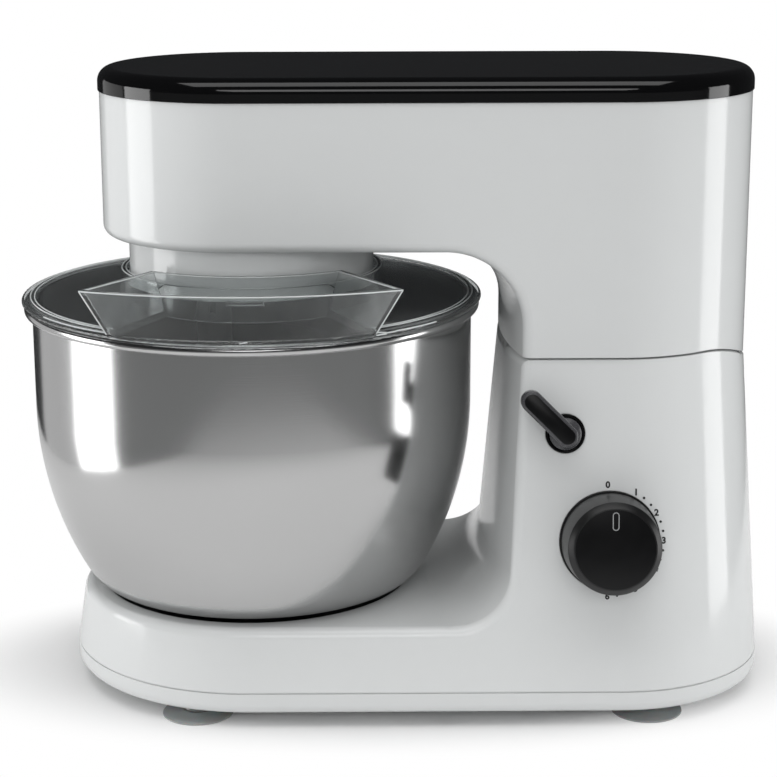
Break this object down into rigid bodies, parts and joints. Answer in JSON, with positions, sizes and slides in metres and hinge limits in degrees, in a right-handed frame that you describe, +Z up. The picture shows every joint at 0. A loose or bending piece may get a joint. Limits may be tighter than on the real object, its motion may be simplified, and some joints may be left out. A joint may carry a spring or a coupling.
{
  "type": "stand mixer",
  "caption": "Tilt-head kitchen stand mixer with a steel bowl, clear splash guard with pouring chute, planetary dough hook, speed knob, release lever and suction feet.",
  "frame": {"origin": "middle of the overall box, at the underside of the feet", "axes": "+X from the bowl to the column, +Y from the controls to the far side, +Z up"},
  "size_m": [0.3746, 0.232, 0.3143],
  "materials": {
    "white_abs": "glossy white moulded plastic",
    "black_gloss": "glossy black moulded plastic",
    "black_satin": "satin black moulded plastic",
    "bowl_steel": "polished stainless steel",
    "steel": "plain steel",
    "bronze": "sintered bronze",
    "copper": "copper",
    "iron": "laminated iron",
    "alloy": "die-cast alloy",
    "clear": "clear polycarbonate",
    "soft": "translucent soft plastic",
    "belt": "belt rubber",
    "board": "circuit board",
    "carbon": "carbon",
    "nylon": "gear nylon"
  },
  "bodies": {
    "base": {"base_housing": "white_abs", "base_plate": "white_abs", "bowl_seat": "black_satin", "hinge_yoke": "steel", "hinge_pin": "steel", "knob_bezel": "black_satin", "speed_switch": "black_satin", "control_board": "board", "lever_bezel": "black_gloss", "latch_spring": "steel", "rear_panel": "white_abs", "cord_gland": "black_satin", "foot_studs": "steel", "suction_feet": "soft", "base_screws": "steel"},
    "bowl": {"bowl": "bowl_steel", "bowl_foot_ring": "bowl_steel"},
    "head": {"head_housing": "white_abs", "head_cover": "black_gloss", "hub_collar": "white_abs", "ring_gear": "nylon", "gearbox_lower_plate": "steel", "gearbox_upper_plate": "steel", "gearbox_pillars": "steel", "head_screws": "steel", "plain_bushes": "bronze", "drive_belt": "belt", "motor_stator": "iron", "field_coils": "copper", "motor_lower_bracket": "alloy", "motor_upper_bracket": "alloy", "motor_bolts": "steel", "carbon_brushes": "carbon", "brush_holders": "nylon", "hinge_arms": "steel", "latch_catch": "steel"},
    "guard": {"splash_guard": "clear"},
    "carrier": {"main_shaft": "steel", "main_gear": "nylon", "planet_carrier": "alloy"},
    "tool": {"planet_pinion": "steel", "tool_shaft": "steel", "tool_pin": "steel", "dough_hook": "alloy"},
    "second_stage": {"second_shaft": "steel", "second_pinion": "steel", "second_gear": "nylon"},
    "first_stage": {"first_shaft": "steel", "first_pinion": "steel", "large_pulley": "nylon"},
    "rotor": {"rotor_shaft": "steel", "rotor_core": "iron", "commutator": "copper", "motor_fan": "nylon", "motor_pulley": "alloy"},
    "knob": {"speed_knob": "black_satin", "knob_shaft": "steel"},
    "lever": {"release_lever": "black_satin", "lever_shaft": "steel", "latch_hook": "steel"}
  },
  "joints": [
    {"name": "head_tilt", "type": "hinge", "parent": "base", "child": "head", "pos_m": [0.15075, 0, 0.14], "axis": [0, 1, 0], "range_deg": [0, 38]},
    {"name": "bowl_twist", "type": "hinge", "parent": "base", "child": "bowl", "pos_m": [-0.07125, 0, 0.045], "axis": [0, 0, 1], "range_deg": [0, 25]},
    {"name": "guard_twist", "type": "hinge", "parent": "head", "child": "guard", "pos_m": [-0.07125, 0, 0.2], "axis": [0, 0, 1], "range_deg": [0, 12]},
    {"name": "carrier_spin", "type": "hinge", "parent": "head", "child": "carrier", "pos_m": [-0.07125, 0, 0.24], "axis": [0, 0, 1], "continuous": true},
    {"name": "tool_spin", "type": "hinge", "parent": "carrier", "child": "tool", "pos_m": [-0.09125, 0, 0.24], "axis": [0, 0, 1], "continuous": true},
    {"name": "second_spin", "type": "hinge", "parent": "head", "child": "second_stage", "pos_m": [-0.015, 0, 0.24], "axis": [0, 0, 1], "continuous": true},
    {"name": "first_spin", "type": "hinge", "parent": "head", "child": "first_stage", "pos_m": [0.025, 0, 0.24], "axis": [0, 0, 1], "continuous": true},
    {"name": "rotor_spin", "type": "hinge", "parent": "head", "child": "rotor", "pos_m": [0.11375, 0, 0.24], "axis": [0, 0, 1], "continuous": true},
    {"name": "knob_turn", "type": "hinge", "parent": "base", "child": "knob", "pos_m": [0.10405, -0.08256, 0.0925], "axis": [0, 0.9882, -0.1531], "range_deg": [0, 180]},
    {"name": "lever_turn", "type": "hinge", "parent": "base", "child": "lever", "pos_m": [0.08225, -0.07453, 0.1443], "axis": [0, 0.9882, -0.1531], "range_deg": [0, 40], "stiffness_Nm_per_rad": 0.05}
  ],
  "couplings": [
    {"joint": "tool_spin", "follows": "carrier_spin", "ratio": -3.6667},
    {"joint": "second_spin", "follows": "carrier_spin", "ratio": -4},
    {"joint": "first_spin", "follows": "carrier_spin", "ratio": 16},
    {"joint": "rotor_spin", "follows": "carrier_spin", "ratio": 71.529}
  ]
}
